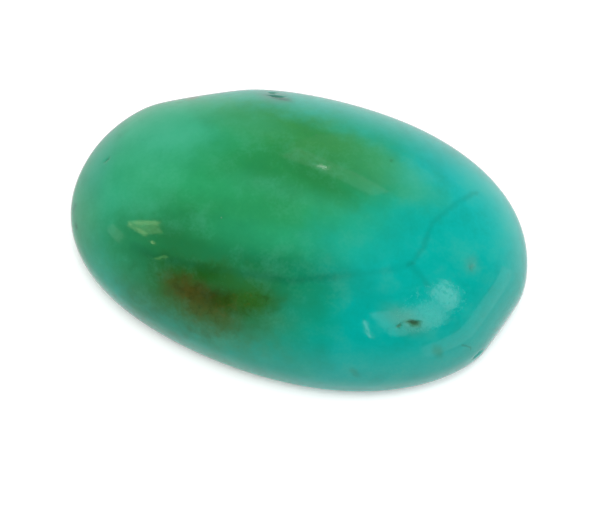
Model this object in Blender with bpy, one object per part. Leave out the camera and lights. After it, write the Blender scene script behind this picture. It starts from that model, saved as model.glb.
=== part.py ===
# Oval turquoise cabochon: one stone, cut by hand, with a high polished dome and a flat ground back.
# Metres, +Z up. The origin is the middle of the back, and +X runs along the stone's length.

import bmesh
import bpy
import numpy as np
from mathutils import Matrix, Vector

MM = 0.001

# Outside size of the stone
LENGTH = 18.0 * MM
WIDTH = 11.45 * MM
HEIGHT = 5.15 * MM

# The outline is an oval with slow lobes left by the cutter's hand.
# Each lobe is a share of the radius and swells towards an angle counted from +X.
LOBES = (
    {"count": 3, "swell": 0.0072, "toward_deg": 58.0},
    {"count": 4, "swell": 0.0150, "toward_deg": 39.0},
    {"count": 5, "swell": 0.0038, "toward_deg": -11.0},
)

# Two places where the edge was held a little too long against the wheel
GROUND_FLATS = (
    {"toward_deg": -21.0, "depth": 0.18 * MM},
    {"toward_deg": 114.5, "depth": 0.22 * MM},
)
FLAT_BLEND = 0.12 * MM

# Side wall: widest at the girdle, with an under edge that arcs in to a crisp arris on the back
GIRDLE_HEIGHT = 0.8 * MM
UNDER_INSET = 0.45 * MM
UNDER_ARC_DEG = 62.0

# Dome: a fullness of 2 is an ellipse from girdle to apex, and more is a fuller shoulder.
# The outline's lobes and flats fade to a plain oval up the dome, as a power of the share of the radius.
DOME_FULLNESS = 2.3
OUTLINE_FADE = 3.0

# Small hollows in the polish: the angle round the stone, how far up from girdle (0) to apex (90),
# the long and short size, the depth, and the slant of the long side up from level
HOLLOWS = (
    {"name": "large_pit", "round_deg": 316.0, "up_deg": 38.3,
     "long": 0.58 * MM, "short": 0.25 * MM, "depth": 0.08 * MM, "slant_deg": -32.0},
    {"name": "small_pit", "round_deg": 310.9, "up_deg": 38.9,
     "long": 0.24 * MM, "short": 0.18 * MM, "depth": 0.05 * MM, "slant_deg": 20.0},
    {"name": "far_edge_pit", "round_deg": 107.0, "up_deg": 31.0,
     "long": 0.42 * MM, "short": 0.24 * MM, "depth": 0.06 * MM, "slant_deg": 6.0},
    {"name": "far_edge_groove", "round_deg": 106.0, "up_deg": 36.0,
     "long": 0.80 * MM, "short": 0.26 * MM, "depth": 0.06 * MM, "slant_deg": -5.0},
    {"name": "end_groove", "round_deg": 176.0, "up_deg": 31.8,
     "long": 0.46 * MM, "short": 0.16 * MM, "depth": 0.05 * MM, "slant_deg": -42.0},
    {"name": "round_pit", "round_deg": 352.0, "up_deg": 40.5,
     "long": 0.34 * MM, "short": 0.30 * MM, "depth": 0.04 * MM, "slant_deg": 0.0},
    {"name": "edge_nick", "round_deg": 328.5, "up_deg": 5.0,
     "long": 0.60 * MM, "short": 0.34 * MM, "depth": 0.07 * MM, "slant_deg": 10.0},
)

# How finely the stone is divided
ROUND_STEPS = 112
UNDER_STEPS = 4
DOME_STEPS = 29
OUTLINE_SAMPLES = 2880
SHARP_EDGE_DEG = 35.0

STONE_COLOUR = (0.016, 0.33, 0.19, 1.0)
STONE_ROUGHNESS = 0.12
STONE_IOR = 1.61


def lobed_oval(angles):
    """X and Y of the oval with its lobes, before the flats are ground."""
    radius = np.ones_like(angles)
    for lobe in LOBES:
        radius = radius + lobe["swell"] * np.cos(lobe["count"] * (angles - np.radians(lobe["toward_deg"])))
    return LENGTH / 2 * radius * np.cos(angles), WIDTH / 2 * radius * np.sin(angles)


def grind_flat(x, y, flat, reach):
    """Move what lies past the flat's line back to it, with a soft start."""
    toward = np.radians(flat["toward_deg"])
    line = reach - flat["depth"]
    excess = np.cos(toward) * x + np.sin(toward) * y - line
    removed = (excess + np.sqrt(excess ** 2 + FLAT_BLEND ** 2)) / 2
    return x - np.cos(toward) * removed, y - np.sin(toward) * removed


def outline(angles):
    """X and Y of the stone's widest outline, centred and brought to LENGTH and WIDTH."""
    x, y = lobed_oval(angles)
    full_x, full_y = lobed_oval(np.linspace(0, 2 * np.pi, OUTLINE_SAMPLES, endpoint=False))
    for flat in GROUND_FLATS:
        toward = np.radians(flat["toward_deg"])
        reach = np.max(np.cos(toward) * full_x + np.sin(toward) * full_y)
        x, y = grind_flat(x, y, flat, reach)
        full_x, full_y = grind_flat(full_x, full_y, flat, reach)
    x = (x - (full_x.max() + full_x.min()) / 2) * LENGTH / np.ptp(full_x)
    y = (y - (full_y.max() + full_y.min()) / 2) * WIDTH / np.ptp(full_y)
    return x, y


def outward(angles):
    """Level unit normal of the outline, from its neighbours on both sides."""
    step = 2 * np.pi / OUTLINE_SAMPLES
    x_after, y_after = outline(angles + step)
    x_before, y_before = outline(angles - step)
    run_x, run_y = x_after - x_before, y_after - y_before
    size = np.hypot(run_x, run_y)
    return run_y / size, -run_x / size


def drawn_in(angles, share):
    """The outline drawn in towards the middle, where it turns into a plain oval."""
    x, y = outline(angles)
    kept = share ** OUTLINE_FADE
    x = kept * x + (1 - kept) * LENGTH / 2 * np.cos(angles)
    y = kept * y + (1 - kept) * WIDTH / 2 * np.sin(angles)
    return x * share, y * share


def dome_height(up):
    """Height over the back at the angle up, which is 0 at the girdle and a right angle at the apex."""
    return GIRDLE_HEIGHT + (HEIGHT - GIRDLE_HEIGHT) * np.sin(up) ** (2 / DOME_FULLNESS)


def dome_point(angle, up):
    """A point on the dome: the outline drawn in by the cosine of up, at the dome's height."""
    x, y = drawn_in(np.array([angle]), np.cos(up))
    return Vector((x[0], y[0], dome_height(up)))


def wall_rows():
    """Rows from the middle of the back to the apex: share of the outline, inset in metres, height."""
    rows = [(0.0, 0.0, 0.0)]
    end = np.radians(UNDER_ARC_DEG)
    for turned in np.linspace(end, 0, UNDER_STEPS + 1)[:-1]:
        inset = UNDER_INSET * (1 - np.cos(turned)) / (1 - np.cos(end))
        rows.append((1.0, inset, GIRDLE_HEIGHT * (1 - np.sin(turned) / np.sin(end))))
    for up in np.linspace(0, np.pi / 2, DOME_STEPS + 1)[:-1]:
        rows.append((np.cos(up), 0.0, dome_height(up)))
    rows.append((0.0, 0.0, HEIGHT))
    return rows


def make_collection(name):
    collection = bpy.data.collections.new(name)
    bpy.context.scene.collection.children.link(collection)
    return collection


def make_object(name, bm, collection):
    mesh = bpy.data.meshes.new(name)
    bm.to_mesh(mesh)
    bm.free()
    obj = bpy.data.objects.new(name, mesh)
    collection.objects.link(obj)
    return obj


def make_stone(collection):
    """A sphere's rings, each moved to its row of the stone's wall."""
    rows = np.array(wall_rows())
    bm = bmesh.new()
    bmesh.ops.create_uvsphere(bm, u_segments=ROUND_STEPS, v_segments=len(rows) - 1, radius=1.0)
    ball = np.array([vert.co for vert in bm.verts])
    angles = np.arctan2(ball[:, 1], ball[:, 0])
    tilt = np.arcsin(np.clip(ball[:, 2], -1.0, 1.0))
    row = np.rint((tilt / np.pi + 0.5) * (len(rows) - 1)).astype(int)
    share, inset, height = rows[row].T
    x, y = drawn_in(angles, share)
    out_x, out_y = outward(angles)
    x = x - out_x * inset
    y = y - out_y * inset
    for vert, place in zip(bm.verts, np.stack([x, y, height], axis=1)):
        vert.co = place
    bmesh.ops.recalc_face_normals(bm, faces=bm.faces)
    return make_object("turquoise_cabochon", bm, collection)


def make_hollow_cutter(hollow, collection):
    """A flat ball centred on the dome, square to it, that leaves a bowl of the hollow's size."""
    angle = np.radians(hollow["round_deg"])
    up = np.radians(hollow["up_deg"])
    step = np.radians(0.5)
    place = dome_point(angle, up)
    level = (dome_point(angle + step, up) - place).normalized()
    upward = (dome_point(angle, up + step) - place).normalized()
    normal = level.cross(upward).normalized()
    level = upward.cross(normal).normalized()
    axes = Matrix((level, normal.cross(level), normal)).transposed().to_4x4()
    slant = Matrix.Rotation(np.radians(hollow["slant_deg"]), 4, "Z")
    half = Matrix.Diagonal((hollow["long"] / 2, hollow["short"] / 2, hollow["depth"], 1.0))
    bm = bmesh.new()
    bmesh.ops.create_icosphere(bm, subdivisions=2, radius=1.0)
    bm.transform(axes @ slant @ half)
    cutter = make_object(hollow["name"] + "_cutter", bm, collection)
    cutter.location = place
    cutter.hide_render = True
    cutter.display_type = "WIRE"
    return cutter


def make_material():
    material = bpy.data.materials.new("turquoise")
    material.use_nodes = True
    shader = material.node_tree.nodes["Principled BSDF"]
    shader.inputs["Base Color"].default_value = STONE_COLOUR
    shader.inputs["Roughness"].default_value = STONE_ROUGHNESS
    shader.inputs["Metallic"].default_value = 0.0
    shader.inputs["IOR"].default_value = STONE_IOR
    return material


def main():
    for old in list(bpy.data.objects):
        bpy.data.objects.remove(old, do_unlink=True)
    stones = make_collection("oval_turquoise_cabochon")
    cutters = make_collection("cutters")

    stone = make_stone(stones)
    stone.data.materials.append(make_material())
    stone.data.shade_smooth()
    stone.data.set_sharp_from_angle(angle=np.radians(SHARP_EDGE_DEG))

    for hollow in HOLLOWS:
        cut = stone.modifiers.new(hollow["name"], "BOOLEAN")
        cut.operation = "DIFFERENCE"
        cut.solver = "EXACT"
        cut.object = make_hollow_cutter(hollow, cutters)


main()
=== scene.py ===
import math

import bpy
import numpy as np
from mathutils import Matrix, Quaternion, Vector


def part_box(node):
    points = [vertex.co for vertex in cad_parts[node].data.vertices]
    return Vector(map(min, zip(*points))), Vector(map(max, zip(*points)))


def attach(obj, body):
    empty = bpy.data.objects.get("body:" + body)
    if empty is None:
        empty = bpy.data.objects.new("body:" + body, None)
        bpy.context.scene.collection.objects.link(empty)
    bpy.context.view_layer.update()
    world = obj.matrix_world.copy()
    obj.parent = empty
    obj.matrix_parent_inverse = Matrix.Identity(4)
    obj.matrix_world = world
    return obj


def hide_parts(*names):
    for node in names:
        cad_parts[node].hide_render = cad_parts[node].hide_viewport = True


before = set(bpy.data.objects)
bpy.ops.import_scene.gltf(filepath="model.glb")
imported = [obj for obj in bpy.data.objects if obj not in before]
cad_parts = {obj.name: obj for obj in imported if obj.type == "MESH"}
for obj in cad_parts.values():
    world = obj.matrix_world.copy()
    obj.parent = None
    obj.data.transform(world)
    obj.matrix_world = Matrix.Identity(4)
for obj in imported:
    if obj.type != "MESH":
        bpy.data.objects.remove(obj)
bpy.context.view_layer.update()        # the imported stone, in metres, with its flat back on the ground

mm = 0.001


# Small helpers

# the light is this much past white paper's, so that the floor keeps only a faint shadow
studio = {"overWhite": 1.45}


def fromScreen(red, green, blue):
    # a screen colour, 0 to 255, as the linear colour that shows as it under the studio's light
    share = np.array([red, green, blue]) / 255
    linear = np.where(share <= 0.04045, share / 12.92, ((share + 0.055) / 1.055) ** 2.4)
    return (*[float(value) for value in linear / studio["overWhite"]], 1.0)


def directionTo(azimuthDeg, elevationDeg):
    # unit vector towards a place seen from the stone: azimuth 0 is -Y, 90 is +X
    azimuth, elevation = math.radians(azimuthDeg), math.radians(elevationDeg)
    return Vector((math.sin(azimuth) * math.cos(elevation),
                   -math.cos(azimuth) * math.cos(elevation),
                   math.sin(elevation)))


def smoothStep(low, high, value):
    # 0 below low, 1 above high, and a soft S between them
    t = np.clip((value - low) / (high - low), 0, 1)
    return t * t * (3 - 2 * t)


# Camera, from the photograph's viewing angle

view = {
    "lens": 85.0, "sensor": 36.0,
    "azimuthDeg": 14.53, "elevationDeg": 70.0,
    "distance": 53.96 * mm,
    "target": Vector((0.347, -0.983, 2.06)) * mm,
    "clipStart": 1 * mm, "clipEnd": 20.0,
}


def makeCamera():
    # looks back along its own direction at the target, with the horizon level
    data = bpy.data.cameras.new("camera")
    data.lens = view["lens"]
    data.sensor_width = view["sensor"]
    data.clip_start = view["clipStart"]
    data.clip_end = view["clipEnd"]
    camera = bpy.data.objects.new("camera", data)
    bpy.context.scene.collection.objects.link(camera)
    back = directionTo(view["azimuthDeg"], view["elevationDeg"])
    camera.location = view["target"] + back * view["distance"]
    camera.rotation_mode = "QUATERNION"
    camera.rotation_quaternion = (-back).to_track_quat("-Z", "Y")
    bpy.context.scene.camera = camera


makeCamera()
print("stage: camera placed")


# The stone's surface

stoneLow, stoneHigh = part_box("turquoise_cabochon")
stone = {
    "length": stoneHigh.x - stoneLow.x,
    "width": stoneHigh.y - stoneLow.y,
    "height": stoneHigh.z - stoneLow.z,
    # slow lobes of the oval: how many round it, share of the radius, angle they swell towards
    "lobes": [(3, 0.0072, 58.0), (4, 0.0150, 39.0), (5, 0.0038, -11.0)],
    # ground flats on the edge: angle they face, depth
    "flats": [(-21.0, 0.18 * mm), (114.5, 0.22 * mm)],
    "flatBlend": 0.12 * mm,
    "girdleHeight": 0.8 * mm, "underInset": 0.45 * mm, "underArcDeg": 62.0,
    "domeFullness": 2.3, "outlineFade": 3.0,
    # how finely it is divided: round it, and up the back, the under edge and the dome
    "roundSteps": 500, "backSteps": 8, "underSteps": 16, "domeSteps": 168,
    "outlineSamples": 2880, "sharpDeg": 30,
    # slow unevenness of a hand-held polish: its height, the height over the back where it's full,
    # and its waves: turn per mm along X and along Y, start, share
    "waveHeight": 0.006 * mm, "waveFull": 1.0 * mm,
    "waves": [(1.35, 0.6, 0.4, 1.0), (0.5, -1.6, 2.1, 1.0), (2.3, -0.9, 4.0, 0.6), (1.1, 2.6, 1.2, 0.5)],
}

# hollows in the polish: angle round, angle up the dome, long and short size, depth, slant,
# how strongly matrix stains it, and how far the stain reaches in its half sizes
hollows = {
    "largePit": (316.0, 38.3, 0.58 * mm, 0.25 * mm, 0.08 * mm, -32.0, 1.00, 1.70),
    "smallPit": (310.9, 38.9, 0.24 * mm, 0.18 * mm, 0.05 * mm, 20.0, 0.75, 1.5),
    "farEdgePit": (107.0, 31.0, 0.42 * mm, 0.24 * mm, 0.06 * mm, 6.0, 0.45, 1.5),
    "farEdgeGroove": (106.0, 36.0, 0.80 * mm, 0.26 * mm, 0.06 * mm, -5.0, 0.40, 1.5),
    "endGroove": (176.0, 31.8, 0.46 * mm, 0.16 * mm, 0.05 * mm, -42.0, 0.55, 1.4),
    "roundPit": (352.0, 40.5, 0.34 * mm, 0.30 * mm, 0.04 * mm, 0.0, 0.28, 1.5),
    "edgeNick": (328.5, 5.0, 0.60 * mm, 0.34 * mm, 0.07 * mm, 10.0, 0.20, 1.0),
}
# what all hollows share: two waves that make the rim uneven, as count and swell; the share of the
# half size that is full depth, and of the reach that is full stain; and how squarely the wall has to
# face a hollow to take it
hollowForm = {"rimWaves": [(3, 0.14), (5, 0.09)], "fullDepth": 0.3, "fullStain": 0.1, "facing": 0.3}


def lobedOval(angle):
    # an ellipse whose radius is one plus a few cosine lobes
    radius = np.ones_like(angle)
    for count, swell, towardDeg in stone["lobes"]:
        radius = radius + swell * np.cos(count * (angle - math.radians(towardDeg)))
    return (stone["length"] / 2 * radius * np.cos(angle),
            stone["width"] / 2 * radius * np.sin(angle))


def groundBack(x, y, towardDeg, line):
    # what lies past the line goes back to it: half of excess plus the root of excess squared
    # and blend squared, which is a soft maximum of the excess and nothing
    nx, ny = math.cos(math.radians(towardDeg)), math.sin(math.radians(towardDeg))
    excess = nx * x + ny * y - line
    removed = (excess + np.sqrt(excess ** 2 + stone["flatBlend"] ** 2)) / 2
    return x - nx * removed, y - ny * removed


def girdleOutline(angle):
    # the lobed oval with its flats ground, centred on its own box and brought to length and width
    x, y = lobedOval(angle)
    fullX, fullY = lobedOval(np.linspace(0, 2 * np.pi, stone["outlineSamples"], endpoint=False))
    for towardDeg, depth in stone["flats"]:
        toward = math.radians(towardDeg)
        line = np.max(math.cos(toward) * fullX + math.sin(toward) * fullY) - depth
        x, y = groundBack(x, y, towardDeg, line)
        fullX, fullY = groundBack(fullX, fullY, towardDeg, line)
    x = (x - (fullX.max() + fullX.min()) / 2) * stone["length"] / np.ptp(fullX)
    y = (y - (fullY.max() + fullY.min()) / 2) * stone["width"] / np.ptp(fullY)
    return x, y


def drawnIn(angle, share):
    # the outline times its share of the radius, turning into a plain ellipse towards the middle
    x, y = girdleOutline(angle)
    kept = share ** stone["outlineFade"]
    x = kept * x + (1 - kept) * stone["length"] / 2 * np.cos(angle)
    y = kept * y + (1 - kept) * stone["width"] / 2 * np.sin(angle)
    return x * share, y * share


def domeHeight(up):
    # girdle height plus the rise times sin(up) to a power under one, which fills the shoulder
    rise = stone["height"] - stone["girdleHeight"]
    return stone["girdleHeight"] + rise * np.sin(up) ** (2 / stone["domeFullness"])


def domePoint(roundDeg, upDeg):
    # the outline drawn in by the cosine of the angle up, at the dome's height
    angle, up = np.radians(np.array([roundDeg])), math.radians(upDeg)
    x, y = drawnIn(angle, math.cos(up))
    return np.array([x[0], y[0], domeHeight(up)])


def stoneGrid():
    # rows of points from the middle of the back, out to the arris, up the under arc to the
    # girdle and over the dome to the apex; each row is the outline times its reach
    angle = np.linspace(0, 2 * np.pi, stone["roundSteps"], endpoint=False)
    step = angle[1] - angle[0]
    beforeX, beforeY = girdleOutline(angle - step)
    afterX, afterY = girdleOutline(angle + step)
    run = np.hypot(afterX - beforeX, afterY - beforeY)
    outX, outY = (afterY - beforeY) / run, (beforeX - afterX) / run

    end = math.radians(stone["underArcDeg"])
    turned = np.linspace(end, 0, stone["underSteps"] + 1)[:-1]
    up = np.linspace(0, np.pi / 2, stone["domeSteps"] + 1)[:-1]
    reach = np.linspace(0, 1, stone["backSteps"] + 1)[1:-1]
    under = (1 - np.cos(turned)) / (1 - math.cos(end)) * stone["underInset"]
    rows = [
        (reach, np.ones_like(reach), np.full_like(reach, stone["underInset"]), np.zeros_like(reach)),
        (np.ones_like(turned), np.ones_like(turned), under,
         stone["girdleHeight"] * (1 - np.sin(turned) / math.sin(end))),
        (np.ones_like(up), np.cos(up), np.zeros_like(up), domeHeight(up)),
    ]
    reach, share, inset, height = [np.concatenate(parts)[:, None] for parts in zip(*rows)]
    x, y = drawnIn(angle[None, :], share)
    x = (x - outX * inset) * reach
    y = (y - outY * inset) * reach
    return np.stack([x, y, np.broadcast_to(height, x.shape)], axis=-1)


def gridNormals(points):
    # cross product of the run round the stone and the run up its wall, brought to length one
    around = np.roll(points, -1, axis=1) - np.roll(points, 1, axis=1)
    upward = np.gradient(points, axis=0)
    normal = np.cross(around, upward)
    least = 1e-15                    # so that nothing is divided by zero
    return normal / np.maximum(np.linalg.norm(normal, axis=-1, keepdims=True), least)


def handWaves(points):
    # the mean of a few crossed sine waves about 4 mm long, which fade out at the flat back
    x, y = points[..., 0] / mm, points[..., 1] / mm
    total = sum(share * np.sin(alongX * x + alongY * y + start)
                for alongX, alongY, start, share in stone["waves"])
    mean = total / sum(share for alongX, alongY, start, share in stone["waves"])
    return stone["waveHeight"] * mean * smoothStep(0.0, stone["waveFull"], points[..., 2])


def hollowShape(points, normals, size):
    # distance from the hollow's middle in its own half sizes, its rim made uneven by two sines;
    # depth is full in the middle and runs out at distance 1
    roundDeg, upDeg, longSize, shortSize, depth, slantDeg, staining, stainReach = size
    nearBy = 0.5                     # degrees to the points that give the directions
    middle = domePoint(roundDeg, upDeg)
    level = domePoint(roundDeg + nearBy, upDeg) - middle
    level = level / np.linalg.norm(level)
    upward = domePoint(roundDeg, upDeg + nearBy) - middle
    normal = np.cross(level, upward)
    normal = normal / np.linalg.norm(normal)
    upward = np.cross(normal, level)
    slant = math.radians(slantDeg)
    away = points - middle
    along = away @ (level * math.cos(slant) + upward * math.sin(slant)) / (longSize / 2)
    across = away @ (upward * math.cos(slant) - level * math.sin(slant)) / (shortSize / 2)
    turn = np.arctan2(across, along)
    uneven = sum(swell * np.sin(count * turn + start)
                 for (count, swell), start in zip(hollowForm["rimWaves"], (roundDeg, upDeg)))
    distance = np.hypot(along, across) * (1 + uneven)
    facing = (normals @ normal) > hollowForm["facing"]
    bowl = depth * (1 - smoothStep(hollowForm["fullDepth"], 1.0, distance)) * facing
    stainStart = hollowForm["fullStain"] * stainReach
    stain = staining * (1 - smoothStep(stainStart, stainReach, distance)) * facing
    return bowl, stain


def closedFaces(rowCount, columnCount):
    # quads between neighbouring rows, and a fan of triangles to a point at each end
    row, column = np.meshgrid(np.arange(rowCount - 1), np.arange(columnCount), indexing="ij")
    start = row * columnCount
    following = (column + 1) % columnCount
    quads = np.stack([start + column, start + following,
                      start + columnCount + following, start + columnCount + column], axis=-1)
    ring = np.arange(columnCount)
    ringAfter = (ring + 1) % columnCount
    first, last = rowCount * columnCount, rowCount * columnCount + 1
    top = (rowCount - 1) * columnCount
    backFan = np.stack([np.full_like(ring, first), ringAfter, ring], axis=-1)
    apexFan = np.stack([top + ring, top + ringAfter, np.full_like(ring, last)], axis=-1)
    return quads.reshape(-1, 4), backFan, apexFan


def makeStone():
    # the grid moved out by the waves and in by the deepest hollow, closed at both ends
    points = stoneGrid()
    normals = gridNormals(points)
    points = points + normals * handWaves(points)[..., None]
    sunk = np.zeros(points.shape[:2])
    stained = np.zeros(points.shape[:2])
    for size in hollows.values():
        bowl, stain = hollowShape(points, normals, size)
        sunk = np.maximum(sunk, bowl)
        stained = np.maximum(stained, stain)
    points = points - normals * sunk[..., None]

    rowCount, columnCount = points.shape[:2]
    ends = np.array([[0, 0, 0], [0, 0, stone["height"]]])
    quads, backFan, apexFan = closedFaces(rowCount, columnCount)
    mesh = bpy.data.meshes.new("polishedStone")
    mesh.from_pydata(np.concatenate([points.reshape(-1, 3), ends]).tolist(), [],
                     quads.tolist() + backFan.tolist() + apexFan.tolist())
    stainLayer = mesh.attributes.new("pitStain", "FLOAT", "POINT")
    stainLayer.data.foreach_set("value", np.append(stained.ravel(), [0, 0]).astype(np.float32))

    # the back and its fan take the second material; the arris between them stays crisp
    backRows = stone["backSteps"] - 1
    isBack = np.zeros(len(mesh.polygons), dtype=np.int32)
    isBack[:backRows * columnCount] = 1
    isBack[len(quads):len(quads) + len(backFan)] = 1
    mesh.polygons.foreach_set("material_index", isBack)
    mesh.shade_smooth()
    mesh.set_sharp_from_angle(angle=math.radians(stone["sharpDeg"]))
    mesh.validate()
    piece = bpy.data.objects.new("polishedStone", mesh)
    bpy.context.scene.collection.objects.link(piece)
    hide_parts("turquoise_cabochon")
    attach(piece, "root")
    return piece


polishedStone = makeStone()
print("stage: stone made,", len(polishedStone.data.polygons), "faces")


# Node helpers

def put(tree, socket, value):
    # a link where the value is another node's output, else the value itself
    if isinstance(value, bpy.types.NodeSocket):
        tree.links.new(value, socket)
    elif value is not None:
        socket.default_value = value


def calc(tree, operation, a, b, clamp=False):
    node = tree.nodes.new("ShaderNodeMath")
    node.operation = operation
    node.use_clamp = clamp
    put(tree, node.inputs[0], a)
    put(tree, node.inputs[1], b)
    return node.outputs[0]


def vectorCalc(tree, operation, a, b=None, scale=None):
    node = tree.nodes.new("ShaderNodeVectorMath")
    node.operation = operation
    put(tree, node.inputs[0], a)
    put(tree, node.inputs[1], b)
    if scale is not None:
        put(tree, node.inputs["Scale"], scale)
    return node.outputs["Value" if operation in ("LENGTH", "DOT_PRODUCT") else "Vector"]


def remap(tree, value, fromLow, fromHigh, toLow=0.0, toHigh=1.0, soft=True):
    node = tree.nodes.new("ShaderNodeMapRange")
    node.interpolation_type = "SMOOTHSTEP" if soft else "LINEAR"
    for name, item in (("Value", value), ("From Min", fromLow), ("From Max", fromHigh),
                       ("To Min", toLow), ("To Max", toHigh)):
        put(tree, node.inputs[name], item)
    return node.outputs["Result"]


def blendColour(tree, share, first, second):
    node = tree.nodes.new("ShaderNodeMix")
    node.data_type = "RGBA"
    put(tree, node.inputs["Factor"], share)
    put(tree, node.inputs["A"], first)
    put(tree, node.inputs["B"], second)
    return node.outputs["Result"]


def noise(tree, place, form, colour=False):
    # form: scale in waves per mm, detail, roughness
    node = tree.nodes.new("ShaderNodeTexNoise")
    put(tree, node.inputs["Vector"], place)
    for name, value in zip(("Scale", "Detail", "Roughness"), form):
        node.inputs[name].default_value = value
    return node.outputs["Color" if colour else "Fac"]


def shifted(tree, place, push, amount):
    # a place moved by a pushing vector times its amount
    return vectorCalc(tree, "ADD", place, vectorCalc(tree, "SCALE", push, scale=amount))


def newGroup(name, inputs, outputs):
    tree = bpy.data.node_groups.new(name, "ShaderNodeTree")
    for label, kind, start in inputs:
        socket = tree.interface.new_socket(label, in_out="INPUT", socket_type=kind)
        if start is not None:
            socket.default_value = start
    for label, kind in outputs:
        tree.interface.new_socket(label, in_out="OUTPUT", socket_type=kind)
    return tree, tree.nodes.new("NodeGroupInput").outputs, tree.nodes.new("NodeGroupOutput").inputs


def useGroup(tree, group, **values):
    node = tree.nodes.new("ShaderNodeGroup")
    node.node_tree = group
    for label, value in values.items():
        put(tree, node.inputs[label], value)
    return node.outputs


# Shared effects; every place is in millimetres

def makeSoftPatch():
    # an ellipse in the plane: 1 inside, 0 outside, with a soft rim as wide as Softness each way
    tree, given, result = newGroup(
        "softPatch",
        [("Place", "NodeSocketVector", None), ("Centre", "NodeSocketVector", None),
         ("HalfSize", "NodeSocketVector", (1, 1, 1)), ("Turn", "NodeSocketVector", None),
         ("Softness", "NodeSocketFloat", 0.4), ("Strength", "NodeSocketFloat", 1.0)],
        [("Mask", "NodeSocketFloat")])
    mapping = tree.nodes.new("ShaderNodeMapping")
    mapping.vector_type = "TEXTURE"
    put(tree, mapping.inputs["Vector"], given["Place"])
    put(tree, mapping.inputs["Location"], given["Centre"])
    put(tree, mapping.inputs["Rotation"], given["Turn"])
    put(tree, mapping.inputs["Scale"], given["HalfSize"])
    distance = vectorCalc(tree, "LENGTH", mapping.outputs["Vector"])
    inner = calc(tree, "SUBTRACT", 1.0, given["Softness"])
    outer = calc(tree, "ADD", 1.0, given["Softness"])
    mask = calc(tree, "SUBTRACT", 1.0, remap(tree, distance, inner, outer))
    put(tree, result["Mask"], calc(tree, "MULTIPLY", mask, given["Strength"]))
    return tree


def makeHairline():
    # distance to the line from Start to End, turned into a mask that is 1 on the line
    tree, given, result = newGroup(
        "hairline",
        [("Place", "NodeSocketVector", None), ("Start", "NodeSocketVector", None),
         ("End", "NodeSocketVector", None), ("Width", "NodeSocketFloat", 0.1),
         ("Strength", "NodeSocketFloat", 1.0)],
        [("Mask", "NodeSocketFloat")])
    flat = vectorCalc(tree, "MULTIPLY", given["Place"], (1, 1, 0))
    fromStart = vectorCalc(tree, "SUBTRACT", flat, given["Start"])
    run = vectorCalc(tree, "SUBTRACT", given["End"], given["Start"])
    share = calc(tree, "DIVIDE", vectorCalc(tree, "DOT_PRODUCT", fromStart, run),
                 vectorCalc(tree, "DOT_PRODUCT", run, run), clamp=True)
    nearest = vectorCalc(tree, "SCALE", run, scale=share)
    distance = vectorCalc(tree, "LENGTH", vectorCalc(tree, "SUBTRACT", fromStart, nearest))
    mask = calc(tree, "SUBTRACT", 1.0, remap(tree, distance, 0.0, given["Width"]))
    put(tree, result["Mask"], calc(tree, "MULTIPLY", mask, given["Strength"]))
    return tree


def makeTinyPits():
    # round specks: near the middle of a random cell, in the few cells that Density lets through;
    # each is full over half its radius
    tree, given, result = newGroup(
        "tinyPits",
        [("Place", "NodeSocketVector", None), ("Scale", "NodeSocketFloat", 1.6),
         ("Radius", "NodeSocketFloat", 0.07), ("Density", "NodeSocketFloat", 0.1)],
        [("Mask", "NodeSocketFloat")])
    cells = tree.nodes.new("ShaderNodeTexVoronoi")
    put(tree, cells.inputs["Vector"], given["Place"])
    put(tree, cells.inputs["Scale"], given["Scale"])
    parts = tree.nodes.new("ShaderNodeSeparateColor")
    put(tree, parts.inputs[0], cells.outputs["Color"])
    chosen = calc(tree, "LESS_THAN", parts.outputs[0], given["Density"])
    inner = calc(tree, "MULTIPLY", given["Radius"], 0.5)
    speck = calc(tree, "SUBTRACT", 1.0, remap(tree, cells.outputs["Distance"], inner, given["Radius"]))
    put(tree, result["Mask"], calc(tree, "MULTIPLY", speck, chosen))
    return tree


softPatch = makeSoftPatch()
hairline = makeHairline()
tinyPits = makeTinyPits()


# The turquoise itself: colour and matrix run right through the stone, so that the polished dome
# and the ground back show the same bands

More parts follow.
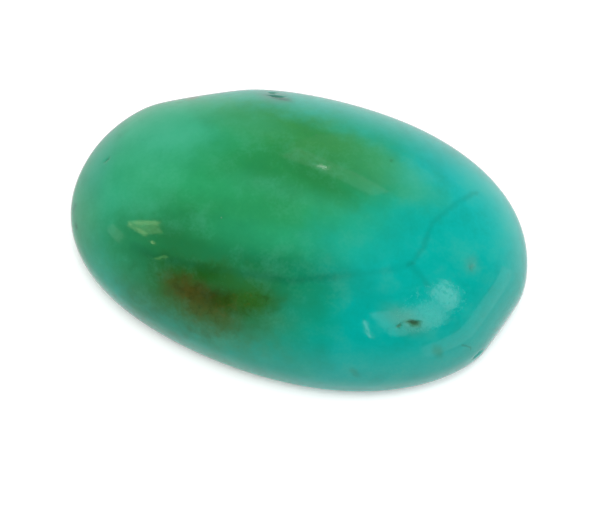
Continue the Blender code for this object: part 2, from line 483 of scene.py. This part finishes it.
turquoise = {
    "blueBody": fromScreen(0, 173, 162),
    "milk": fromScreen(96, 194, 162),
    "deep": fromScreen(10, 118, 78),
    "vein": fromScreen(6, 92, 66),
    "pitBrown": fromScreen(42, 90, 54),
    "pitOlive": fromScreen(62, 128, 98),
    "stainDeep": fromScreen(36, 52, 6),
    "stainRed": fromScreen(100, 74, 20),
    # patches: middle in mm, half sizes in mm, turn, softness, strength, colour
    "patches": {
        "rightCyan": ((7.2, 2.2), (1.7, 2.0), 15, 0.7, 0.6, fromScreen(30, 190, 182)),
        "greenBody": ((-2.7, 1.0), (5.9, 3.9), 8, 0.45, 1.0, fromScreen(44, 160, 102)),
        "leftMilk": ((-7.0, 0.2), (2.4, 4.2), 0, 0.5, 0.6, fromScreen(64, 172, 128)),
        "upperLeftMilk": ((-5.6, 2.2), (2.6, 1.7), 15, 0.6, 0.6, fromScreen(70, 178, 142)),
        "lowerLeftGreen": ((-5.2, -3.2), (2.0, 1.2), -25, 0.6, 0.65, fromScreen(54, 146, 88)),
        "upperOlive": ((-0.6, 2.7), (3.0, 1.1), -6, 0.65, 0.75, fromScreen(58, 138, 66)),
        "rightOlive": ((3.3, 1.8), (1.8, 0.9), -5, 0.6, 0.6, fromScreen(60, 158, 98)),
        "middleGreen": ((-0.4, 1.0), (2.8, 1.1), 6, 0.7, 0.8, fromScreen(38, 132, 68)),
        "upperRim": ((-1.4, 5.4), (4.4, 1.6), -3, 0.6, 0.75, fromScreen(54, 180, 166)),
        "leftDeep": ((-3.8, -1.9), (1.9, 0.9), -10, 0.7, 0.5, fromScreen(34, 118, 60)),
        "lowerDeep": ((-1.9, -2.6), (4.2, 1.0), 1, 0.6, 0.75, fromScreen(26, 113, 60)),
        "lowerTeal": ((1.0, -4.0), (1.5, 1.3), 10, 0.6, 0.6, fromScreen(16, 148, 110)),
        "lowerRim": ((-2.6, -5.6), (3.6, 0.9), 4, 0.6, 0.6, fromScreen(30, 158, 128)),
        "lowerOlive": ((-0.7, -4.8), (1.6, 0.55), 6, 0.7, 0.5, fromScreen(66, 126, 66)),
        "stainHalo": ((-2.3, -3.92), (2.9, 1.05), 3, 0.5, 0.9, fromScreen(46, 104, 34)),
        "stainTop": ((-3.5, -3.3), (1.9, 0.45), -4, 0.6, 0.6, fromScreen(28, 94, 36)),
        "stainDark": ((-2.5, -3.35), (0.55, 0.35), 0, 0.6, 0.6, fromScreen(28, 84, 14)),
    },
    # the brown core of the stain, which counts as matrix; the same values
    "stain": {
        "brownLeft": ((-3.10, -4.02), (0.85, 0.40), -14, 0.9, 0.80, fromScreen(78, 62, 10)),
        "brownLow": ((-2.30, -4.42), (1.00, 0.38), -14, 0.9, 0.72, fromScreen(78, 74, 18)),
        "brownRight": ((-1.75, -4.08), (0.80, 0.30), -6, 0.9, 0.80, fromScreen(44, 54, 0)),
        "oliveArm": ((-0.75, -3.95), (0.95, 0.34), 12, 0.7, 0.65, fromScreen(46, 96, 12)),
    },
    # small marks that keep their place; the same values
    "marks": {
        "stainFringe": ((-2.7, -4.72), (1.7, 0.42), -6, 0.9, 0.40, fromScreen(60, 108, 50)),
        "wedgeShade": ((-3.75, -2.5), (1.0, 0.75), 0, 0.9, 0.25, fromScreen(44, 108, 48)),
        "crestEndPale": ((-2.4, 2.67), (1.2, 0.45), -4, 0.9, 0.45, fromScreen(66, 168, 122)),
        "rightPale": ((4.6, 2.6), (1.2, 1.0), 40, 0.9, 0.35, fromScreen(44, 190, 186)),
        "crestShade": ((0.65, 0.85), (1.4, 0.38), -22, 0.9, 0.35, fromScreen(36, 118, 58)),
        "crestPale": ((-0.4, 0.10), (2.0, 0.40), -4, 0.9, 0.30, fromScreen(60, 160, 120)),
        "middleDusk": ((-1.3, -0.90), (2.2, 0.50), 0, 0.9, 0.35, fromScreen(34, 126, 66)),
        "middleLight": ((-1.2, -1.85), (2.2, 0.45), 0, 0.9, 0.45, fromScreen(44, 166, 112)),
        "middleShade": ((-0.1, -2.95), (1.3, 0.50), 0, 0.9, 0.40, fromScreen(0, 116, 66)),
        "lowerShade": ((1.3, -3.5), (1.2, 0.70), 8, 0.9, 0.25, fromScreen(24, 132, 84)),
        "pitHalo": ((4.85, -3.15), (0.75, 0.32), -8, 0.8, 0.40, fromScreen(84, 140, 112)),
        "brownMark": ((6.26, -3.67), (0.20, 0.14), -10, 0.8, 0.35, fromScreen(40, 120, 70)),
        "faintMark": ((3.48, -5.11), (0.18, 0.07), -15, 0.8, 0.35, fromScreen(20, 110, 90)),
        "darkDot": ((2.95, 2.48), (0.07, 0.07), 0, 0.7, 0.35, fromScreen(30, 90, 50)),
        "redMark": ((-5.2, 3.86), (0.24, 0.14), 30, 0.8, 0.5, fromScreen(140, 112, 96)),
        "roundHalo": ((6.73, -0.45), (0.24, 0.30), 0, 0.8, 0.30, fromScreen(96, 140, 122)),
        "farHalo": ((-2.1, 4.5), (0.62, 0.46), -10, 0.6, 0.40, fromScreen(112, 124, 118)),
        "farGrey": ((-1.85, 4.38), (0.40, 0.12), -10, 0.9, 0.60, fromScreen(54, 72, 74)),
        "leftOlive": ((-8.0, -1.9), (0.7, 1.0), 20, 0.9, 0.40, fromScreen(84, 150, 92)),
        "leftSpeck": ((-8.22, -2.10), (0.07, 0.13), 25, 0.8, 0.50, fromScreen(16, 96, 78)),
        "leftEdgeSpeck": ((-8.52, -1.39), (0.06, 0.16), 10, 0.8, 0.45, fromScreen(40, 104, 96)),
        "leftBlue": ((-8.1, 1.2), (0.6, 2.2), 8, 0.8, 0.30, fromScreen(76, 160, 150)),
    },
    # fine dark veins: corner points in mm, width, strength
    "veins": [
        ([(-5.5, -2.85), (-4.5, -3.1), (-2.4, -3.2), (0.5, -3.0), (2.0, -2.5)], 0.24, 0.30),
        ([(2.0, -2.5), (2.9, -2.15), (4.1, -1.6), (4.6, -1.25)], 0.20, 0.17),
        ([(4.55, -1.30), (4.87, -0.51), (4.95, 0.45), (5.60, 1.55), (6.3, 2.5)], 0.18, 0.22),
        ([(4.55, -1.30), (5.35, -1.80)], 0.20, 0.24),
        # a darker knot where they meet
        ([(4.50, -1.28), (4.58, -1.24)], 0.22, 0.45),
        # a short scratch above the nick
        ([(7.10, -3.12), (7.42, -3.07)], 0.06, 0.45),
    ],
    # patches run right through the stone: their half size along Z in mm
    "through": 1000.0,
    # noise that pushes places about: scale, detail, roughness
    "slowNoise": (0.55, 2.0, 0.5), "fineNoise": (2.4, 3.0, 0.6),
    # how far it pushes, in mm: the patches by both noises, the stain and the marks by the fine one
    "slowPush": 1.0, "finePush": 0.7, "stainPush": 0.5, "markPush": 0.22,
    # darker and redder flecks in the matrix: noise, and for each the limits and the strength
    "fleckNoise": (3.4, 4.0, 0.65), "darkFlecks": (0.50, 0.68, 0.55), "redFlecks": (0.48, 0.34, 0.30),
    # milky and deep mottling with a fine grain: noises, the grain's share, limits and strengths
    "mottleNoise": (0.9, 5.0, 0.62), "grainNoise": (8.0, 2.0, 0.5), "grainShare": 0.22,
    "milkClouds": (0.50, 0.75, 0.19), "deepClouds": (0.50, 0.25, 0.24),
    # the veins fade where the mottling is low: limits, and what is left of them
    "veinFade": (0.35, 0.6, 0.45),
}


def paintPatches(tree, place, patches, colour):
    # each patch's own colour blended over what lies under it; also the patches' masks
    masks = []
    for middle, half, turnDeg, softness, strength, tint in patches.values():
        mask = useGroup(tree, softPatch, Place=place, Centre=(*middle, 0.0),
                        HalfSize=(*half, turquoise["through"]), Turn=(0.0, 0.0, math.radians(turnDeg)),
                        Softness=softness, Strength=strength)["Mask"]
        colour = blendColour(tree, mask, colour, tint)
        masks.append(mask)
    return colour, masks


def makeTurquoiseBody():
    # patches, stain and marks over the blue body, then flecks, mottling and veins
    tree, given, result = newGroup(
        "turquoiseBody", [("Place", "NodeSocketVector", None)], [("Colour", "NodeSocketColor")])
    place = given["Place"]
    half = (0.5, 0.5, 0.5)       # the middle of the noise's range
    # places are pushed about by slow and fine noise, so that no edge is a drawn line
    slow = vectorCalc(tree, "SUBTRACT", noise(tree, place, turquoise["slowNoise"], colour=True), half)
    fine = vectorCalc(tree, "SUBTRACT", noise(tree, place, turquoise["fineNoise"], colour=True), half)
    pushed = shifted(tree, shifted(tree, place, slow, turquoise["slowPush"]), fine, turquoise["finePush"])
    calm = shifted(tree, place, fine, turquoise["stainPush"])
    nudged = shifted(tree, place, fine, turquoise["markPush"])

    colour = paintPatches(tree, pushed, turquoise["patches"], turquoise["blueBody"])[0]
    colour, stainMasks = paintPatches(tree, calm, turquoise["stain"], colour)
    colour = paintPatches(tree, nudged, turquoise["marks"], colour)[0]
    matrix = 0.0
    for mask in stainMasks:
        matrix = calc(tree, "MAXIMUM", matrix, mask)

    flecks = noise(tree, place, turquoise["fleckNoise"])
    for key, tint in (("darkFlecks", "stainDeep"), ("redFlecks", "stainRed")):
        low, high, strength = turquoise[key]
        share = calc(tree, "MULTIPLY", remap(tree, flecks, low, high, 0.0, strength), matrix)
        colour = blendColour(tree, share, colour, turquoise[tint])

    # the milky clouds are weaker in the brown matrix
    mottle = noise(tree, place, turquoise["mottleNoise"])
    grain = noise(tree, place, turquoise["grainNoise"])
    grainShare = turquoise["grainShare"]
    cloud = calc(tree, "ADD", calc(tree, "MULTIPLY", mottle, 1 - grainShare),
                 calc(tree, "MULTIPLY", grain, grainShare))
    low, high, strength = turquoise["milkClouds"]
    clear = calc(tree, "SUBTRACT", 1.0, matrix)
    milky = calc(tree, "MULTIPLY", remap(tree, cloud, low, high, 0.0, strength, soft=False), clear)
    colour = blendColour(tree, milky, colour, turquoise["milk"])
    low, high, strength = turquoise["deepClouds"]
    deep = remap(tree, cloud, low, high, 0.0, strength, soft=False)
    colour = blendColour(tree, deep, colour, turquoise["deep"])

    vein = 0.0
    for corners, width, strength in turquoise["veins"]:
        for start, end in zip(corners[:-1], corners[1:]):
            mask = useGroup(tree, hairline, Place=nudged, Start=(*start, 0.0), End=(*end, 0.0),
                            Width=width, Strength=strength)["Mask"]
            vein = calc(tree, "MAXIMUM", vein, mask)
    low, high, least = turquoise["veinFade"]
    vein = calc(tree, "MULTIPLY", vein, remap(tree, mottle, low, high, least, 1.0))
    put(tree, result["Colour"], blendColour(tree, vein, colour, turquoise["vein"]))
    return tree


turquoiseBody = makeTurquoiseBody()


def newMaterial(name):
    # a Principled material, and the stone's own coordinates in millimetres for its textures
    material = bpy.data.materials.new(name)
    material.use_nodes = True
    tree = material.node_tree
    shader = tree.nodes["Principled BSDF"]
    mapping = tree.nodes.new("ShaderNodeMapping")
    mapping.inputs["Scale"].default_value = (1 / mm, 1 / mm, 1 / mm)
    put(tree, mapping.inputs["Vector"], tree.nodes.new("ShaderNodeTexCoord").outputs["Object"])
    return material, tree, shader, mapping.outputs["Vector"]


def addBump(tree, height, distance, normal=None):
    bump = tree.nodes.new("ShaderNodeBump")
    bump.inputs["Distance"].default_value = distance
    put(tree, bump.inputs["Height"], height)
    put(tree, bump.inputs["Normal"], normal)
    return bump.outputs["Normal"]


polish = {
    "ior": 1.61, "roughness": 0.05,
    # faint smudges: noise, its limits, and the roughness they add
    "smudgeNoise": (0.9, 4.0, 0.6), "smudgeFrom": (0.35, 0.7), "smudge": 0.03,
    # a place beside the large pit where the polish is finely pitted: middle and half sizes in mm,
    # turn, softness, noise, its limits, the roughness it adds, and the height of its pocks
    "wornMiddle": (5.65, -2.45), "wornHalf": (1.75, 0.85), "wornTurnDeg": 40.0, "wornSoftness": 0.4,
    "wornNoise": (8.0, 3.0, 0.6), "wornFrom": (0.53, 0.58), "wornRoughness": 0.26,
    "pockNoise": (9.0, 2.0, 0.6), "pockHeight": 0.004 * mm,
    # the hollows: roughness, grain, and where the olive rim and the brown depth set in, with strength
    "pitRoughness": 0.55, "pitNoise": (18.0, 3.0, 0.6), "pitHeight": 0.02 * mm,
    "pitRim": (0.00, 0.70, 0.75), "pitDepth": (0.62, 1.00, 0.90),
    "speckDensity": 0.05, "speckRadius": 0.09, "speckStrength": 0.5,
    "rippleNoise": (6.0, 3.0, 0.6), "rippleHeight": 0.0012 * mm,
    # light that sinks in a little way before it comes back
    "glow": 0.35, "glowColour": (0.4, 1.0, 0.9), "glowDepth": 0.35 * mm,
}


def makePolishedTurquoise():
    material, tree, shader, place = newMaterial("polishedTurquoise")
    body = useGroup(tree, turquoiseBody, Place=place)
    pit = tree.nodes.new("ShaderNodeAttribute")
    pit.attribute_name = "pitStain"
    speck = useGroup(tree, tinyPits, Place=place, Radius=polish["speckRadius"],
                     Density=polish["speckDensity"])["Mask"]
    dark = calc(tree, "MAXIMUM", pit.outputs["Fac"],
                calc(tree, "MULTIPLY", speck, polish["speckStrength"]))
    colour = body["Colour"]
    for key, tint in (("pitRim", "pitOlive"), ("pitDepth", "pitBrown")):
        low, high, strength = polish[key]
        share = remap(tree, dark, low, high, 0.0, strength)
        colour = blendColour(tree, share, colour, turquoise[tint])
    put(tree, shader.inputs["Base Color"], colour)

    # roughness: the polish, its smudges and its worn place, and at least the pits' own
    smudge = remap(tree, noise(tree, place, polish["smudgeNoise"]), *polish["smudgeFrom"],
                   0.0, polish["smudge"])
    worn = useGroup(tree, softPatch, Place=place, Centre=(*polish["wornMiddle"], 0.0),
                    HalfSize=(*polish["wornHalf"], turquoise["through"]),
                    Turn=(0.0, 0.0, math.radians(polish["wornTurnDeg"])),
                    Softness=polish["wornSoftness"], Strength=1.0)["Mask"]
    pitted = remap(tree, noise(tree, place, polish["wornNoise"]), *polish["wornFrom"],
                   0.0, polish["wornRoughness"])
    gloss = calc(tree, "ADD", smudge, polish["roughness"])
    gloss = calc(tree, "ADD", gloss, calc(tree, "MULTIPLY", pitted, worn))
    gloss = calc(tree, "MAXIMUM", gloss, calc(tree, "MULTIPLY", dark, polish["pitRoughness"]))
    put(tree, shader.inputs["Roughness"], gloss)

    # fine relief: ripples everywhere, pocks in the worn place and grain in the pits
    ripple = addBump(tree, noise(tree, place, polish["rippleNoise"]), polish["rippleHeight"])
    pocks = calc(tree, "MULTIPLY", noise(tree, place, polish["pockNoise"]), worn)
    ripple = addBump(tree, pocks, polish["pockHeight"], ripple)
    grain = calc(tree, "MULTIPLY", noise(tree, place, polish["pitNoise"]), dark)
    put(tree, shader.inputs["Normal"], addBump(tree, grain, polish["pitHeight"], ripple))
    shader.inputs["IOR"].default_value = polish["ior"]
    shader.inputs["Subsurface Weight"].default_value = polish["glow"]
    shader.inputs["Subsurface Radius"].default_value = polish["glowColour"]
    shader.inputs["Subsurface Scale"].default_value = polish["glowDepth"]
    shader.inputs["Metallic"].default_value = 0.0
    return material


ground = {
    "ior": 1.61, "pale": 0.25,
    # scratches of the wheel: how they're stretched and turned, noise, height, and the limits
    # and strength of their pale dust
    "scratchStretch": (0.5, 14.0, 1.0), "scratchTurnDeg": 24.0, "scratchNoise": (1.0, 4.0, 0.7),
    "scratchHeight": 0.006 * mm, "dust": (0.55, 0.75, 0.25),
    # limits of the scratches, and the roughness at each
    "roughFrom": (0.3, 0.7), "roughness": (0.45, 0.65),
    "speckDensity": 0.3, "speckRadius": 0.12, "speckStrength": 0.8,
}


def makeGroundTurquoise():
    material, tree, shader, place = newMaterial("groundTurquoise")
    body = useGroup(tree, turquoiseBody, Place=place)
    speck = useGroup(tree, tinyPits, Place=place, Radius=ground["speckRadius"],
                     Density=ground["speckDensity"])["Mask"]
    speck = calc(tree, "MULTIPLY", speck, ground["speckStrength"])
    turned = tree.nodes.new("ShaderNodeMapping")
    turned.inputs["Rotation"].default_value = (0, 0, math.radians(ground["scratchTurnDeg"]))
    turned.inputs["Scale"].default_value = ground["scratchStretch"]
    put(tree, turned.inputs["Vector"], place)
    scratches = noise(tree, turned.outputs["Vector"], ground["scratchNoise"])
    low, high, strength = ground["dust"]
    colour = blendColour(tree, ground["pale"], body["Colour"], turquoise["milk"])
    colour = blendColour(tree, speck, colour, turquoise["pitBrown"])
    dust = remap(tree, scratches, low, high, 0.0, strength)
    put(tree, shader.inputs["Base Color"], blendColour(tree, dust, colour, turquoise["milk"]))
    put(tree, shader.inputs["Roughness"],
        remap(tree, scratches, *ground["roughFrom"], *ground["roughness"]))
    put(tree, shader.inputs["Normal"], addBump(tree, scratches, ground["scratchHeight"]))
    shader.inputs["IOR"].default_value = ground["ior"]
    shader.inputs["Metallic"].default_value = 0.0
    return material


polishedStone.data.materials.append(makePolishedTurquoise())
polishedStone.data.materials.append(makeGroundTurquoise())
print("stage: materials made")


# Pale floor

floor = {"size": 2.4, "colour": (0.93, 0.93, 0.93, 1.0), "roughness": 0.9}


def makeFloor():
    # a flat square at height 0
    half = floor["size"] / 2
    corners = [(-half, -half, 0), (half, -half, 0), (half, half, 0), (-half, half, 0)]
    mesh = bpy.data.meshes.new("floor")
    mesh.from_pydata(corners, [], [(0, 1, 2, 3)])
    sheet = bpy.data.objects.new("floor", mesh)
    bpy.context.scene.collection.objects.link(sheet)
    material = bpy.data.materials.new("paleFloor")
    material.use_nodes = True
    shader = material.node_tree.nodes["Principled BSDF"]
    shader.inputs["Base Color"].default_value = floor["colour"]
    shader.inputs["Roughness"].default_value = floor["roughness"]
    shader.inputs["Specular IOR Level"].default_value = 0.0
    mesh.materials.append(material)
    sheet.visible_glossy = False     # the gloss reflects the room's softer version of the table


makeFloor()


# Soft studio light: each panel's brightness is given as a share of white paper's

stoneMiddle = Vector((0.0, 0.0, 3.0 * mm))
plain, sky, warm = (1.0, 1.0, 1.0), (0.8, 1.0, 1.03), (0.75, 1.0, 0.4)
lights = {
    # azimuth, elevation, distance, width, height, roll, brightness, tint, seen in the gloss,
    # lights the stone
    "overhead": (150, 78, 0.9, 1.3, 1.3, 0, 3.6, plain, False, True),
    "leftFill": (-45, 42, 0.9, 0.7, 0.7, 0, 2.0, plain, False, True),
    "windowLeftPane": (50.0, 35.4, 0.32, 0.156, 0.122, -6, 0.75, sky, True, True),
    "windowLeftGlow": (56.0, 35.0, 0.32, 0.120, 0.110, 0, 0.40, sky, True, True),
    "windowRightPane": (77.4, 38.2, 0.32, 0.066, 0.108, -14, 1.65, sky, True, True),
    "windowRightRim": (83.5, 37.0, 0.32, 0.008, 0.070, -10, 1.6, sky, True, True),
    "windowEdge": (26.6, 33.0, 0.32, 0.003, 0.086, -6, 3.4, sky, True, True),
    "sill": (75.0, 0.0, 0.32, 0.420, 0.110, 0, 0.35, plain, True, False),
    "sideWindow": (-72.2, 40.6, 0.32, 0.044, 0.062, 0, 1.10, warm, True, True),
    "sideWindowEdge": (-75.7, 39.8, 0.32, 0.013, 0.086, 3, 1.2, warm, True, True),
    "sideWindowFoot": (-70.3, 34.8, 0.32, 0.054, 0.017, 42, 1.3, warm, True, True),
    "sideGlint": (-60.2, 38.0, 0.32, 0.013, 0.010, 0, 3.0, warm, True, True),
    "sideStreak": (-49.6, 34.3, 0.32, 0.0035, 0.042, 4, 3.2, (0.45, 1.0, 0.3), True, True),
    "sidePatch": (-69.0, 19.5, 0.32, 0.052, 0.052, 25, 0.60, (0.7, 1.0, 0.8), True, True),
    "wallTop": (178.5, 48.0, 0.60, 0.27, 0.080, -24, 0.38, plain, True, False),
    "wall": (173.0, 31.5, 0.60, 0.27, 0.310, -22, 0.14, plain, True, False),
    "wallGlint": (183.0, 47.6, 0.60, 0.016, 0.014, 0, 8.0, plain, True, False),
}
roundPanels = ("windowLeftGlow", "sideGlint", "wallGlint")     # the others are rectangles


def makePanel(name, values):
    # a rectangle or ellipse that faces the stone: its power is brightness times pi times its area
    azimuthDeg, elevationDeg, distance, width, height, rollDeg, brightness, tint, glossy, diffuse = values
    isRound = name in roundPanels
    data = bpy.data.lights.new(name, "AREA")
    data.shape = "ELLIPSE" if isRound else "RECTANGLE"
    data.size, data.size_y = width, height
    data.energy = brightness * math.pi * width * height * (math.pi / 4 if isRound else 1)
    data.color = tint
    panel = bpy.data.objects.new(name, data)
    bpy.context.scene.collection.objects.link(panel)
    away = directionTo(azimuthDeg, elevationDeg)
    panel.location = stoneMiddle + away * distance
    panel.rotation_mode = "QUATERNION"
    roll = Quaternion((0, 0, 1), math.radians(rollDeg))
    panel.rotation_quaternion = away.to_track_quat("Z", "Y") @ roll
    panel.visible_camera = False
    panel.visible_glossy = glossy
    panel.visible_diffuse = diffuse


for panelName, panelValues in lights.items():
    makePanel(panelName, panelValues)


# The room: pale low down, as a table and its surroundings are, and dim above

room = {
    # what the gloss reflects, as shares of white paper: the table near by, the table far off and
    # the walls, and the elevations between which each gives way to the next
    "near": 0.78, "far": 0.64, "walls": 0.02,
    "nearDeg": (-62.0, -42.0), "farDeg": (-25.0, 27.0),
    # how much brighter the far table is towards +X, +Y and +Z
    "lean": (0.21, 0.42, 0.0),
}


def makeRoom():
    # near table plus far table and walls, each a soft step over the sine of the elevation
    world = bpy.data.worlds.new("room")
    bpy.context.scene.world = world
    world.use_nodes = True
    tree = world.node_tree
    parts = tree.nodes.new("ShaderNodeSeparateXYZ")
    towards = tree.nodes.new("ShaderNodeTexCoord").outputs["Generated"]
    put(tree, parts.inputs[0], towards)
    nearLow, nearHigh = [math.sin(math.radians(value)) for value in room["nearDeg"]]
    farLow, farHigh = [math.sin(math.radians(value)) for value in room["farDeg"]]
    near = remap(tree, parts.outputs["Z"], nearLow, nearHigh, room["near"] - room["far"], 0.0)
    far = remap(tree, parts.outputs["Z"], farLow, farHigh, room["far"], room["walls"])
    lean = calc(tree, "ADD", 1.0, vectorCalc(tree, "DOT_PRODUCT", towards, room["lean"]))
    far = calc(tree, "MULTIPLY", far, lean)
    # the camera itself sees plain white beyond the floor
    seen = tree.nodes.new("ShaderNodeLightPath").outputs["Is Camera Ray"]
    brightness = calc(tree, "MAXIMUM", calc(tree, "ADD", near, far), seen)
    put(tree, tree.nodes["Background"].inputs["Color"], brightness)


makeRoom()
bpy.context.scene.view_settings.view_transform = "Standard"
print("stage: floor, lights and room made")
